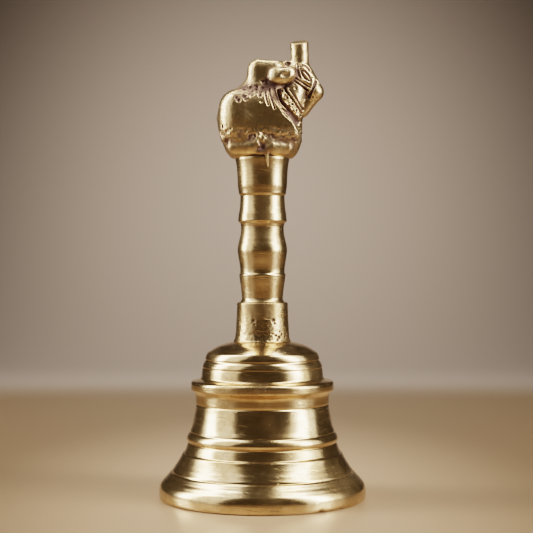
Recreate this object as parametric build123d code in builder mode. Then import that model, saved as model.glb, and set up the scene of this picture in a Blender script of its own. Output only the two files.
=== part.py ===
from build123d import *

import os

# Brass hand bell for worship: a turned cup, a cast collar, a turned stem and a cast couchant bull,
# held in one stack by an eye bolt whose eye carries the clapper on a wire link.
# Millimetres. +Z is up the stem, +X is the way the bull faces.
# The origin is the centre of the mouth, on the plane that the rim rests on.

# Driving dimensions
mouth_radius = 34.0  # outside of the lip
cup_height = 51.2  # rim to the seat that the collar stands on
collar_height = 13.0
stem_length = 47.6
stem_radius = 8.9  # where the stem meets the bull
bull_height = 38.6  # stem to the tip of the horn stub
bull_length = 34.8  # rump to muzzle
bull_depth = 21.0  # knee to knee
bull_overhang = 14.5  # rump to the stem's axis

# Cup
rim_land = 2.4  # width of the flat ring that the bell rests on
lip_lean = 0.5  # the lip's band leans in by this much at the bottom
lip_round = 3.0
wall = 2.3
crown_thickness = 3.6
groove_radius = 0.35
seat_land = 0.4  # flat of the crown that shows outside the collar's foot
crown_sag = 0.7  # how far each curved run of the outside leaves its chord
shoulder_sag = 0.25
upper_sag = 0.2
waist_sag = 0.2
bead_sag = 0.75
foot_sag = 0.15
lip_wall = 1.2 * wall  # the wall thickens towards the lip and the crown
shoulder_wall = 1.6 * wall

# Collar
collar_top_radius = 8.35
collar_foot_radius = 9.6
collar_foot_height = 1.4
collar_edge = 0.35
collar_flare = 0.45  # how far the foot's fillet stands out from the top radius
collar_sag = 0.2

# Stem
spigot_radius = 4.8  # the stem's lower end, in the collar's counterbore
spigot_length = 4.0
ridge_radius = 0.6
throat_sag = 0.15
rise_sag = 0.1
lip_sag = 0.2
tenon_radius = 4.0  # the bull's tenon, in the stem's upper socket
tenon_length = 7.5

# Eye bolt, washer and nut
bolt_radius = 2.5
bolt_grip = 14.0  # length that screws into the stem
bolt_tail = 1.0  # thread that shows below the nut
bolt_neck = 1.6  # cone between the thread and the eye
eye_radius = 2.9  # to the middle of the wire
eye_wire = 1.1
washer_radius = 6.6
washer_thickness = 0.9
washer_edge = 0.2
nut_across_flats = 9.0
nut_height = 3.4
nut_chamfer = 0.6

# Wire link and clapper
link_radius = 3.4
link_wire = 0.8
shank_radius = 1.35
shank_eye_radius = 2.1
shank_eye_wire = 0.9
shank_neck = 2.0  # taper between the eye and the rod
bob_radius = 6.8
bob_neck_radius = 2.6
bob_neck_rise = 0.9  # how far the neck stands above the ball
bob_neck_length = 3.0
bob_above_rim = 3.6  # gap under the clapper when the bell stands
bob_flat = 0.7  # taken off the bottom of the ball
rivet_radius = 2.3  # the shank's lower end, peened over in a countersink
rivet_depth = 1.0
rivet_dome = 0.3

# Clearances
thread_clearance = 0.05
fit_clearance = 0.05
bolt_lead = 0.1  # chamfer at the bolt's upper end
end_clearance = 0.3
wire_clearance = 0.12

# Thickness of a rod's end where it meets the wire of its eye, as a share of the wire's
wire_root = 0.8

# Levels, from the rim up
collar_top = cup_height + collar_height
stem_top = collar_top + stem_length
ceiling = cup_height - crown_thickness
washer_bottom = ceiling - washer_thickness
nut_bottom = washer_bottom - nut_height
bolt_end = nut_bottom - bolt_tail
eye_level = bolt_end - bolt_neck - eye_radius
eye_pivot = eye_level - eye_radius
link_level = eye_pivot + eye_wire + wire_clearance + link_wire - link_radius
link_pivot = link_level - link_radius
shank_eye_level = link_pivot + link_wire + wire_clearance + shank_eye_wire - shank_eye_radius
bob_bottom = bob_above_rim
bob_level = bob_bottom + bob_radius - bob_flat
stem_bottom = collar_top - spigot_length
bolt_top = stem_bottom + bolt_grip

# Rings of the cup: radii as shares of the mouth's, levels as shares of the cup's height
lip_top = (mouth_radius, 0.057 * cup_height)
lip_corner = (mouth_radius, 0.093 * cup_height)
foot_groove = (0.882 * mouth_radius, 0.170 * cup_height)
step_outer = (0.772 * mouth_radius, 0.289 * cup_height)
step_inner = (0.754 * mouth_radius, 0.293 * cup_height)
bead_bottom = (0.717 * mouth_radius, 0.358 * cup_height)
bead_top = (0.699 * mouth_radius, 0.426 * cup_height)
waist_groove = (0.645 * mouth_radius, 0.602 * cup_height)
flange_root = (0.645 * mouth_radius, 0.662 * cup_height)
flange_bottom = (0.691 * mouth_radius, 0.694 * cup_height)
flange_top = (0.691 * mouth_radius, 0.744 * cup_height)
ledge = (0.592 * mouth_radius, 0.765 * cup_height)
upper_groove = (0.582 * mouth_radius, 0.831 * cup_height)
shoulder_groove = (0.556 * mouth_radius, 0.881 * cup_height)
shoulder = (0.541 * mouth_radius, 0.916 * cup_height)
seat_edge = (collar_foot_radius + seat_land, cup_height)
rim_edge = (mouth_radius - lip_lean, 0)
rim_inner = (mouth_radius - lip_lean - rim_land, 0)
ceiling_edge = (washer_radius + 2 * end_clearance, ceiling)


def inside(ring, thickness):
    """Point of the cup's hollow, that much in from a ring of its outside."""
    return (ring[0] - thickness, ring[1])


def up_stem(radius_share, length_share):
    """Point of the stem's outline, in shares of its top radius and of its length."""
    return (radius_share * stem_radius, collar_top + length_share * stem_length)


def wire_eye(radius, wire, level, rotation):
    """Eye of round wire, its centre on the bell's axis."""
    with Locations(Location((0, 0, level), rotation)):
        Torus(radius, wire)


def section(x_low, x_high, half_depth, level):
    """Level cut through the bull's body, all four in shares of the bull's sizes."""
    centre = ((x_low + x_high) / 2 * bull_length - bull_overhang, 0, stem_top + level * bull_height)
    half_length = (x_high - x_low) / 2 * bull_length
    with BuildSketch(Plane(centre)) as cut:
        Ellipse(half_length, half_depth * bull_depth / 2)
    return cut.sketch


# Cup: the outside from the crown down to the lip, then the hollow back up to the ceiling
with BuildPart() as bell_cup:
    with BuildSketch(Plane.XZ):
        with BuildLine():
            Line((0, cup_height), seat_edge)
            SagittaArc(seat_edge, shoulder, -crown_sag)
            SagittaArc(shoulder, shoulder_groove, -shoulder_sag)
            SagittaArc(shoulder_groove, upper_groove, -upper_sag)
            Polyline(upper_groove, ledge, flange_top, flange_bottom, flange_root, waist_groove)
            SagittaArc(waist_groove, bead_top, waist_sag)
            SagittaArc(bead_top, bead_bottom, -bead_sag)
            Polyline(bead_bottom, step_inner, step_outer)
            SagittaArc(step_outer, foot_groove, foot_sag)
            FilletPolyline(foot_groove, lip_corner, lip_top, radius=lip_round)
            Polyline(lip_top, rim_edge, rim_inner)
            Spline(
                rim_inner,
                inside(foot_groove, lip_wall),
                inside(step_inner, wall),
                inside(bead_top, wall),
                inside(waist_groove, wall),
                inside(ledge, wall),
                inside(shoulder_groove, shoulder_wall),
                ceiling_edge,
                tangents=((-0.6, 1), (-1, 0)),
            )
            Polyline(ceiling_edge, (0, ceiling), (0, cup_height))
        make_face()
    revolve(axis=Axis.Z)
    with BuildSketch(Plane.XZ):
        with Locations(foot_groove, bead_top, waist_groove, upper_groove, shoulder_groove):
            Circle(groove_radius)
    revolve(axis=Axis.Z, mode=Mode.SUBTRACT)
    with Locations((0, 0, cup_height)):
        Hole(bolt_radius + thread_clearance, crown_thickness)

# Collar, brazed to the crown, with a counterbore that takes the stem's spigot
with BuildPart() as neck_collar:
    with BuildSketch(Plane.XZ):
        with BuildLine():
            Polyline((0, collar_top), (0, cup_height), (collar_foot_radius, cup_height))
            foot_end = (collar_top_radius + collar_flare, cup_height + collar_foot_height)
            SagittaArc((collar_foot_radius, cup_height), foot_end, collar_sag)
            Line(foot_end, (collar_top_radius, collar_top - collar_edge))
            Line((collar_top_radius, collar_top - collar_edge), (collar_top_radius - collar_edge, collar_top))
            Line((collar_top_radius - collar_edge, collar_top), (0, collar_top))
        make_face()
    revolve(axis=Axis.Z)
    with Locations((0, 0, collar_top)):
        CounterBoreHole(
            bolt_radius + thread_clearance,
            spigot_radius + fit_clearance,
            spigot_length + end_clearance,
        )

# Stem: four swelling lengths between a ridge and two lips, a spigot below and a socket above
with BuildPart() as handle_stem:
    with BuildSketch(Plane.XZ):
        with BuildLine():
            foot = up_stem(0.809, 0)
            throat = up_stem(0.758, 0.026)
            ridge = up_stem(0.815, 0.190)
            lip_under = up_stem(0.820, 0.550)
            lip_edge = up_stem(0.904, 0.567)
            step_under = up_stem(0.815, 0.744)
            step_edge = up_stem(0.872, 0.757)
            top_edge = up_stem(1.0, 1.0)
            Polyline((0, stem_bottom), (spigot_radius, stem_bottom), (spigot_radius, collar_top), foot)
            SagittaArc(foot, throat, throat_sag)
            SagittaArc(throat, up_stem(0.847, 0.175), rise_sag)
            Line(up_stem(0.847, 0.175), ridge)
            Spline(
                ridge,
                up_stem(0.865, 0.280),
                up_stem(0.918, 0.360),
                up_stem(0.865, 0.430),
                up_stem(0.795, 0.510),
                lip_under,
            )
            Line(lip_under, lip_edge)
            SagittaArc(lip_edge, step_under, lip_sag)
            Line(step_under, step_edge)
            Spline(step_edge, up_stem(0.920, 0.860), up_stem(0.943, 0.920), top_edge)
            Polyline(top_edge, (0, stem_top), (0, stem_bottom))
        make_face()
    revolve(axis=Axis.Z)
    with BuildSketch(Plane.XZ):
        with Locations(ridge):
            Circle(ridge_radius)
    revolve(axis=Axis.Z)
    with Locations((0, 0, stem_top)):
        Hole(tenon_radius + fit_clearance, tenon_length + end_clearance)
    with Locations(Location((0, 0, stem_bottom), (180, 0, 0))):
        Hole(bolt_radius + thread_clearance, bolt_grip + end_clearance)

# Bull: a body lofted through level cuts, with the head, legs and ears as lumps on it
body_cuts = (
    (0.080, 0.740, 0.840, -0.020),
    (0.045, 0.775, 0.960, 0.090),
    (0.020, 0.790, 1.000, 0.230),
    (0.000, 0.780, 0.970, 0.400),
    (0.060, 0.740, 0.820, 0.530),
    (0.200, 0.690, 0.600, 0.640),
)
# centre and radii of each lump, in shares of the length, half depth and height
lumps = (
    ((0.660, 0, 0.430), (0.175, 0.620, 0.230)),  # neck
    ((0.790, 0, 0.650), (0.145, 0.420, 0.170)),  # head
    ((0.885, 0, 0.550), (0.115, 0.330, 0.110)),  # muzzle
)
paired_lumps = (
    ((0.275, 0.660, 0.105), (0.215, 0.340, 0.095)),  # hind leg
    ((0.605, 0.640, 0.105), (0.185, 0.340, 0.095)),  # fore leg
    ((0.300, 0.420, 0.300), (0.250, 0.570, 0.260)),  # haunch
    ((0.600, 0.430, 0.690), (0.120, 0.200, 0.055)),  # ear
)
hump_length = 0.345 * bull_length
hump_depth = 0.420 * bull_depth
hump_foot = stem_top + 0.480 * bull_height
hump_height = 0.355 * bull_height
hump_centre = 0.455 * bull_length - bull_overhang
horn_radius = 0.080 * bull_length
horn_foot = stem_top + 0.700 * bull_height
horn_centre = 0.772 * bull_length - bull_overhang


def lump(centre, radii, side=1):
    """Ellipsoid of the bull, its centre and radii in shares of the bull's sizes."""
    size = (radii[0] * bull_length, radii[1] * bull_depth / 2, radii[2] * bull_height)
    place = (
        centre[0] * bull_length - bull_overhang,
        side * centre[1] * bull_depth / 2,
        stem_top + centre[2] * bull_height,
    )
    ball = Sphere(1, mode=Mode.PRIVATE)
    return scale(ball, by=size, mode=Mode.PRIVATE).moved(Location(place))


with BuildPart() as bull_finial:
    loft([section(*cut) for cut in body_cuts])
    for centre, radii in lumps:
        add(lump(centre, radii))
    for centre, radii in paired_lumps:
        add(lump(centre, radii))
        add(lump(centre, radii, side=-1))
    with BuildSketch(Plane.XY.offset(hump_foot)):
        with Locations((hump_centre, 0)):
            RectangleRounded(hump_length, hump_depth, 0.45 * hump_depth)
    extrude(amount=hump_height)
    with BuildSketch(Plane.XY.offset(horn_foot)):
        with Locations((horn_centre, 0)):
            Circle(horn_radius)
    extrude(amount=0.30 * bull_height)
    split(bisect_by=Plane.XY.offset(stem_top), keep=Keep.TOP)
    with Locations((0, 0, stem_top)):
        Cylinder(tenon_radius, tenon_length, align=(Align.CENTER, Align.CENTER, Align.MAX))

# Eye bolt: runs up through washer, crown and collar into the stem
with BuildPart() as eye_bolt:
    with BuildSketch(Plane.XZ):
        with BuildLine():
            Polyline(
                (0, bolt_top),
                (bolt_radius - bolt_lead, bolt_top),
                (bolt_radius, bolt_top - bolt_lead),
                (bolt_radius, bolt_end),
                (wire_root * eye_wire, bolt_end - bolt_neck),
                (0, bolt_end - bolt_neck),
                close=True,
            )
        make_face()
    revolve(axis=Axis.Z)
    wire_eye(eye_radius, eye_wire, eye_level, (90, 0, 0))

with BuildPart() as crown_washer:
    with Locations((0, 0, washer_bottom)):
        Cylinder(washer_radius, washer_thickness, align=(Align.CENTER, Align.CENTER, Align.MIN))
    chamfer(crown_washer.edges().group_by(Axis.Z)[0], washer_edge)
    with Locations((0, 0, ceiling)):
        Hole(bolt_radius + 2 * thread_clearance, washer_thickness)

# Lock nut: a hexagon whose corners are turned off above and below
with BuildPart() as lock_nut:
    with BuildSketch(Plane.XY.offset(nut_bottom)):
        RegularPolygon(nut_across_flats / 2, 6, major_radius=False)
    extrude(amount=nut_height)
    with BuildSketch(Plane.XZ):
        corner = nut_across_flats / 3**0.5
        with BuildLine():
            Polyline(
                (0, nut_bottom),
                (corner - nut_chamfer, nut_bottom),
                (corner, nut_bottom + nut_chamfer / 2),
                (corner, washer_bottom - nut_chamfer / 2),
                (corner - nut_chamfer, washer_bottom),
                (0, washer_bottom),
                close=True,
            )
        make_face()
    revolve(axis=Axis.Z, mode=Mode.INTERSECT)
    with Locations((0, 0, washer_bottom)):
        Hole(bolt_radius + thread_clearance, nut_height)

with BuildPart() as link_ring:
    wire_eye(link_radius, link_wire, link_level, (0, 90, 0))

# Clapper shank: an eye at the top, the lower end peened over under the bob
with BuildPart() as clapper_shank:
    with BuildSketch(Plane.XZ):
        with BuildLine():
            shank_top = shank_eye_level - shank_eye_radius
            Polyline(
                (0, shank_top),
                (wire_root * shank_eye_wire, shank_top),
                (shank_radius, shank_top - shank_neck),
                (shank_radius, bob_bottom + rivet_depth),
                (rivet_radius, bob_bottom),
                (0.6 * rivet_radius, bob_bottom - rivet_dome),
                (0, bob_bottom - rivet_dome),
                close=True,
            )
        make_face()
    revolve(axis=Axis.Z)
    wire_eye(shank_eye_radius, shank_eye_wire, shank_eye_level, (90, 0, 0))

# Bob: a ball with a short neck, bored for the shank and countersunk below
with BuildPart() as clapper_bob:
    with BuildSketch(Plane.XZ):
        with Locations((0, bob_level)):
            Circle(bob_radius)
        with Locations((0, bob_level + bob_radius + bob_neck_rise)):
            Rectangle(2 * bob_neck_radius, bob_neck_length, align=(Align.CENTER, Align.MAX))
        with Locations((0, bob_bottom)):
            Rectangle(4 * bob_radius, 2 * bob_radius, align=(Align.CENTER, Align.MAX), mode=Mode.SUBTRACT)
        with Locations((0, bob_level)):
            Rectangle(4 * bob_radius, 4 * bob_radius, align=(Align.MAX, Align.CENTER), mode=Mode.SUBTRACT)
    revolve(axis=Axis.Z)
    with Locations(Location((0, 0, bob_bottom), (180, 0, 0))):
        CounterSinkHole(shank_radius + fit_clearance, rivet_radius + 2 * fit_clearance)

pieces = {
    "bell_cup": bell_cup,
    "neck_collar": neck_collar,
    "handle_stem": handle_stem,
    "bull_finial": bull_finial,
    "eye_bolt": eye_bolt,
    "crown_washer": crown_washer,
    "lock_nut": lock_nut,
    "link_ring": link_ring,
    "clapper_shank": clapper_shank,
    "clapper_bob": clapper_bob,
}
os.makedirs("parts", exist_ok=True)
for name, piece in pieces.items():
    piece.part.label = name
    export_step(piece.part, f"parts/{name}.step")
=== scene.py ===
import math

import bpy
import numpy as np
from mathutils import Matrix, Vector


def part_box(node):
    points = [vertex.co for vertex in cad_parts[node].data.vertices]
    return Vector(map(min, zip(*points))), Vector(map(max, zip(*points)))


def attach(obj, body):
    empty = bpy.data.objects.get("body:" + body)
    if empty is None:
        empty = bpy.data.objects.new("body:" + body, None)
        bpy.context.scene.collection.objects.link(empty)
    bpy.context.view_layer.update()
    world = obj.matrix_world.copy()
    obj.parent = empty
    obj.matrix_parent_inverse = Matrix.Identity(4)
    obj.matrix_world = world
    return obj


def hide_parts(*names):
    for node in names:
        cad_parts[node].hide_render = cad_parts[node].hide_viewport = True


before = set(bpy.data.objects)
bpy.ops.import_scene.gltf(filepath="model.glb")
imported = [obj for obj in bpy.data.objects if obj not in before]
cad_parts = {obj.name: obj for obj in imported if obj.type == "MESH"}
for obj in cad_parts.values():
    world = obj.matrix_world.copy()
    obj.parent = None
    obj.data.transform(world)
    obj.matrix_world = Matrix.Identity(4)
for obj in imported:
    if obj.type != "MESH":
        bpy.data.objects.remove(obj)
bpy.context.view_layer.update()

mm = 0.001


class Wire:
    # a socket that takes part in Python sums: each operator adds its Math node
    def __init__(self, bench, socket):
        self.bench, self.socket = bench, socket

    def math(self, operation, *others, clamp=False):
        made = self.bench.node("ShaderNodeMath", {"operation": operation, "use_clamp": clamp},
                               dict(enumerate((self, *others))))
        return made["Value"]

    def __add__(self, other):
        return self.math("ADD", other)

    def __radd__(self, other):
        return self.math("ADD", other)

    def __sub__(self, other):
        return self.math("SUBTRACT", other)

    def __mul__(self, other):
        return self.math("MULTIPLY", other)

    def __rmul__(self, other):
        return self.math("MULTIPLY", other)

    def __truediv__(self, other):
        return self.math("DIVIDE", other)

    def __mod__(self, other):
        return self.math("FLOORED_MODULO", other)

    def __neg__(self):
        return self.math("MULTIPLY", -1.0)

    def __abs__(self):
        return self.math("ABSOLUTE")

    def __gt__(self, other):
        return self.math("GREATER_THAN", other)

    def __rsub__(self, other):
        return (-self) + other

    def __rtruediv__(self, other):
        return self.math("POWER", -1.0) * other

    def least(self, other):
        return self.math("MINIMUM", other)

    def most(self, other):
        return self.math("MAXIMUM", other)

    def join(self, other, blend):
        # two forms run together; carve takes one out, within keeps what both hold
        return self.math("SMOOTH_MIN", other, blend)

    def carve(self, other, blend):
        return self.math("SMOOTH_MAX", -other, blend)

    def within(self, other, blend):
        return self.math("SMOOTH_MAX", other, blend)

    def clamped(self):
        return self.math("ADD", 0.0, clamp=True)

    def sine(self):
        return self.math("SINE")

    def cosine(self):
        return self.math("COSINE")

    def fade(self, low, high):
        # 0 at low, 1 at high, eased
        made = self.bench.node("ShaderNodeMapRange", {"interpolation_type": "SMOOTHSTEP"},
                               {"Value": self, "From Min": low, "From Max": high})
        return made["Result"]

    def parts(self):
        made = self.bench.node("ShaderNodeSeparateXYZ", {}, {"Vector": self})
        return made["X"], made["Y"], made["Z"]


class Bench:
    # a node tree, with the nodes this script adds to it
    def __init__(self, tree):
        self.tree = tree

    def node(self, kind, settings=None, sockets=None):
        # settings first, then the values or links of the sockets
        made = self.tree.nodes.new(kind)
        for name, value in (settings or {}).items():
            setattr(made, name, value)
        for name, value in (sockets or {}).items():
            target = made.inputs[name]
            if isinstance(value, Wire):
                self.tree.links.new(value.socket, target)
            else:
                target.default_value = value
        return Outputs(self, made)

    def feed(self, shader, values):
        for name, value in values.items():
            self.tree.links.new(value.socket, shader.inputs[name])

    def vector(self, x, y, z):
        return self.node("ShaderNodeCombineXYZ", {}, {"X": x, "Y": y, "Z": z})["Vector"]

    def vectorMath(self, operation, *values):
        out = "Value" if operation in ("LENGTH", "DOT_PRODUCT", "DISTANCE") else "Vector"
        made = self.node("ShaderNodeVectorMath", {"operation": operation}, dict(enumerate(values)))
        return made[out]

    def scaled(self, vector, factor):
        made = self.node("ShaderNodeVectorMath", {"operation": "SCALE"}, {"Vector": vector, "Scale": factor})
        return made["Vector"]

    def noise(self, vector, scale, detail=2.0, roughness=0.5):
        made = self.node("ShaderNodeTexNoise", {}, {
            "Vector": vector, "Scale": scale, "Detail": detail, "Roughness": roughness})
        return made["Fac"]

    def cells(self, vector, scale):
        # distance to the nearest of the scattered spots
        made = self.node("ShaderNodeTexVoronoi", {"feature": "F1"}, {"Vector": vector, "Scale": scale})
        return made["Distance"]

    def named(self, label):
        made = self.node("GeometryNodeInputNamedAttribute", {"data_type": "FLOAT"}, {"Name": label})
        return made["Attribute"]

    def keep(self, geometry, label, value):
        # stores a number on every point
        made = self.node("GeometryNodeStoreNamedAttribute", {"data_type": "FLOAT", "domain": "POINT"},
                         {"Geometry": geometry, "Name": label, "Value": value})
        return made["Geometry"]

    def moved(self, geometry, **sockets):
        return self.node("GeometryNodeSetPosition", {}, {"Geometry": geometry, **sockets})["Geometry"]

    def drawnObject(self, holder):
        made = self.node("GeometryNodeObjectInfo", {"transform_space": "ORIGINAL"}, {"Object": holder})
        return made["Geometry"]

    def blended(self, factor, first, second):
        # colours only
        made = self.node("ShaderNodeMix", {"data_type": "RGBA"}, {0: factor, 6: first, 7: second})
        return Wire(self, made.made.outputs[2])


class Outputs:
    def __init__(self, bench, made):
        self.bench, self.made = bench, made

    def __getitem__(self, name):
        return Wire(self.bench, self.made.outputs[name])


def newTree(name, inputs):
    tree = bpy.data.node_groups.new(name, "GeometryNodeTree")
    for label, kind in inputs.items():
        tree.interface.new_socket(label, in_out="INPUT", socket_type="NodeSocket" + kind)
    tree.interface.new_socket("Geometry", in_out="OUTPUT", socket_type="NodeSocketGeometry")
    bench = Bench(tree)
    given = bench.node("NodeGroupInput")
    return tree, bench, given


def closeTree(bench, geometry, material):
    real = bench.node("GeometryNodeRealizeInstances", {}, {"Geometry": geometry})["Geometry"]
    painted = bench.node("GeometryNodeSetMaterial", {}, {"Geometry": real, "Material": material})["Geometry"]
    bench.node("NodeGroupOutput", {}, {"Geometry": painted})


def grow(name, tree, values, base=None):
    # runs the tree on a helper object and keeps a plain mesh
    helper = bpy.data.objects.new(name + "Helper", base or bpy.data.meshes.new(name + "Base"))
    bpy.context.scene.collection.objects.link(helper)
    modifier = helper.modifiers.new("grow", "NODES")
    modifier.node_group = tree
    for item in tree.interface.items_tree:
        if item.in_out == "INPUT" and item.name in values:
            modifier[item.identifier] = values[item.name]
    graph = bpy.context.evaluated_depsgraph_get()
    evaluated = helper.evaluated_get(graph)
    mesh = bpy.data.meshes.new_from_object(evaluated, preserve_all_data_layers=True, depsgraph=graph)
    bpy.data.objects.remove(helper)
    mesh.name = name
    while mesh.materials[0] is None:
        mesh.materials.pop(index=0)
    mesh.shade_smooth()
    piece = bpy.data.objects.new(name, mesh)
    bpy.context.scene.collection.objects.link(piece)
    print("grown", name, len(mesh.polygons), "faces")
    return piece


def turnedTree():
    # spins an outline about Z; rows of the grid are the outline's points
    tree, bench, given = newTree("turned", {
        "Outline": "Geometry", "Turns": "Int", "Wobble": "Float", "Thread Pitch": "Float",
        "Thread Depth": "Float", "Thread Low": "Float", "Thread High": "Float", "Dents": "Object",
        "Skin": "Float", "Skin Low": "Float", "Skin High": "Float", "Material": "Material"})
    outline = given["Outline"]
    size = bench.node("GeometryNodeAttributeDomainSize", {"component": "MESH"}, {"Geometry": outline})
    points = size["Point Count"]
    grid = bench.node("GeometryNodeMeshGrid", {}, {
        "Size X": 1.0, "Size Y": 1.0, "Vertices X": given["Turns"] + 1.0, "Vertices Y": points})["Mesh"]
    here = bench.node("GeometryNodeInputPosition")["Position"]
    across, up, _ = here.parts()
    row = ((up + 0.5) * (points - 1.0)).math("ROUND")
    spot = bench.node("GeometryNodeSampleIndex", {"data_type": "FLOAT_VECTOR"},
                      {"Geometry": outline, "Value": here, "Index": row})["Value"]
    along = bench.node("GeometryNodeSampleIndex", {"data_type": "FLOAT"},
                       {"Geometry": outline, "Value": bench.named("along"), "Index": row})["Value"]
    radius, _, level = spot.parts()
    turn = across + 0.5
    angle = turn * (2 * math.pi)

    # the thread runs out over a short length at both ends
    runOut = 0.4 * mm
    threadLow, threadHigh = given["Thread Low"], given["Thread High"]
    ridge = abs((level / given["Thread Pitch"] - turn) % 1.0 - 0.5) * 2.0 - 0.5
    threaded = level.fade(threadLow, threadLow + runOut) * (1 - level.fade(threadHigh - runOut, threadHigh))
    radius = radius + ridge * given["Thread Depth"] * threaded * (radius > 0.5 * mm)
    spun = bench.vector(radius * angle.cosine(), radius * angle.sine(), level)
    shape = bench.moved(bench.keep(grid, "along", along), Position=spun)
    shape = bench.node("GeometryNodeMergeByDistance", {}, {"Geometry": shape, "Distance": 1e-6})["Geometry"]

    # hand work: a slow wobble, a rough skin between two levels, and dents where the marks are
    normal = bench.node("GeometryNodeInputNormal")["Normal"]
    _, _, height = here.parts()
    slow = bench.noise(here, 90.0, 1.0) - 0.5
    skin = (bench.noise(here, 900.0, 3.0, 0.6) - 0.5) * given["Skin"] * \
        (1 - height.fade(given["Skin Low"], given["Skin High"]))
    marks = bench.drawnObject(given["Dents"])
    gap = bench.node("GeometryNodeProximity", {"target_element": "POINTS"}, {"Geometry": marks})["Distance"]
    nearest = bench.node("GeometryNodeSampleNearest", {"domain": "POINT"}, {"Geometry": marks})["Index"]

    def markValue(label):
        return bench.node("GeometryNodeSampleIndex", {"data_type": "FLOAT"},
                          {"Geometry": marks, "Value": bench.named(label), "Index": nearest})["Value"]

    width = markValue("size")
    dent = (1 - gap.fade(width * 0.35, width)) * markValue("depth")
    spoiled = (1 - gap.fade(width * 0.6, width * 1.5)) * 0.6
    spoiled = (spoiled - skin * (1.6 / mm)).clamped()
    shape = bench.keep(shape, "cavity", spoiled)
    shift = slow * given["Wobble"] + skin - dent
    shape = bench.moved(shape, Offset=bench.scaled(normal, shift))
    closeTree(bench, shape, given["Material"])
    return tree


def chained(count, start=0):
    # edges from each point to the next
    return [(start + i, start + i + 1) for i in range(count - 1)]


def drawn(name, points):
    # outline as a bare wire of edges, with the length along it kept for the tool marks;
    # it runs the way round that makes the spun faces look outwards
    line = np.array([point[:2] for point in points])
    r, z = line.T
    if np.sum(np.diff(z) * (r[1:] ** 2 + r[1:] * r[:-1] + r[:-1] ** 2)) < 0:
        points = points[::-1]
    mesh = bpy.data.meshes.new(name + "Outline")
    mesh.from_pydata([(r * mm, 0.0, z * mm) for r, z in points], chained(len(points)), [])
    steps = np.hypot(*np.diff(np.array(points), axis=0).T)
    attribute = mesh.attributes.new("along", "FLOAT", "POINT")
    attribute.data.foreach_set("value", np.concatenate(([0.0], np.cumsum(steps))).astype(np.float32))
    return mesh


def flowing(*runs):
    # each run: a list of (radius, level[, bow]) and a step; bow lifts the arc that arrives at the point
    whole = []
    for points, step in runs:
        for here in points:
            r, z, bow = (*here, 0.0)[:3]
            if not whole:
                whole.append((r, z))
                continue
            r0, z0 = whole[-1]
            length = math.hypot(r - r0, z - z0)
            count = max(1, round(length / step))
            for i in range(1, count + 1):
                t = i / count
                lift = 4 * bow * t * (1 - t)
                whole.append((r0 + (r - r0) * t + lift * (z - z0) / max(length, 1e-9),
                              z0 + (z - z0) * t - lift * (r - r0) / max(length, 1e-9)))
    return whole


def eased(points, times=2):
    # takes the razor edge off the corners
    line = np.array(points)
    for _ in range(times):
        line[1:-1] = 0.25 * line[:-2] + 0.5 * line[1:-1] + 0.25 * line[2:]
    return [tuple(p) for p in line]


def marksAt(name, marks):
    # (angle in degrees from the front, radius, level, size, depth), all lengths in mm
    mesh = bpy.data.meshes.new(name + "Marks")
    spots = []
    for turn, r, z, _, _ in marks:
        a = math.radians(turn)
        spots.append((r * mm * math.sin(a), -r * mm * math.cos(a), z * mm))
    mesh.from_pydata(spots, [], [])
    for label, column in (("size", 3), ("depth", 4)):
        attribute = mesh.attributes.new(label, "FLOAT", "POINT")
        attribute.data.foreach_set("value", [m[column] * mm for m in marks])
    return bpy.data.objects.new(name + "Marks", mesh)


def turned(name, outline, material, marks=((0, 200, 0, 0.1, 0),), **settings):
    dents = marksAt(name, marks)
    values = {
        "Turns": 256, "Wobble": 0.0, "Thread Pitch": mm, "Thread Depth": 0.0, "Thread Low": 0.0,
        "Thread High": 0.0, "Skin": 0.0, "Skin Low": 0.0, "Skin High": 1.0, "Dents": dents,
        "Material": material, **settings}
    piece = grow(name, turnedShape, values, drawn(name, outline))
    bpy.data.objects.remove(dents)
    return piece


def handOver(piece, body, node):
    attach(piece, body)
    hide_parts(node)
    return piece


turnedShape = turnedTree()


brass = {
    "colour": (0.80, 0.63, 0.40),
    "warm": (0.66, 0.48, 0.26),
    "tarnish": (0.17, 0.11, 0.065),
    "roughness": 0.20,
}


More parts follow.
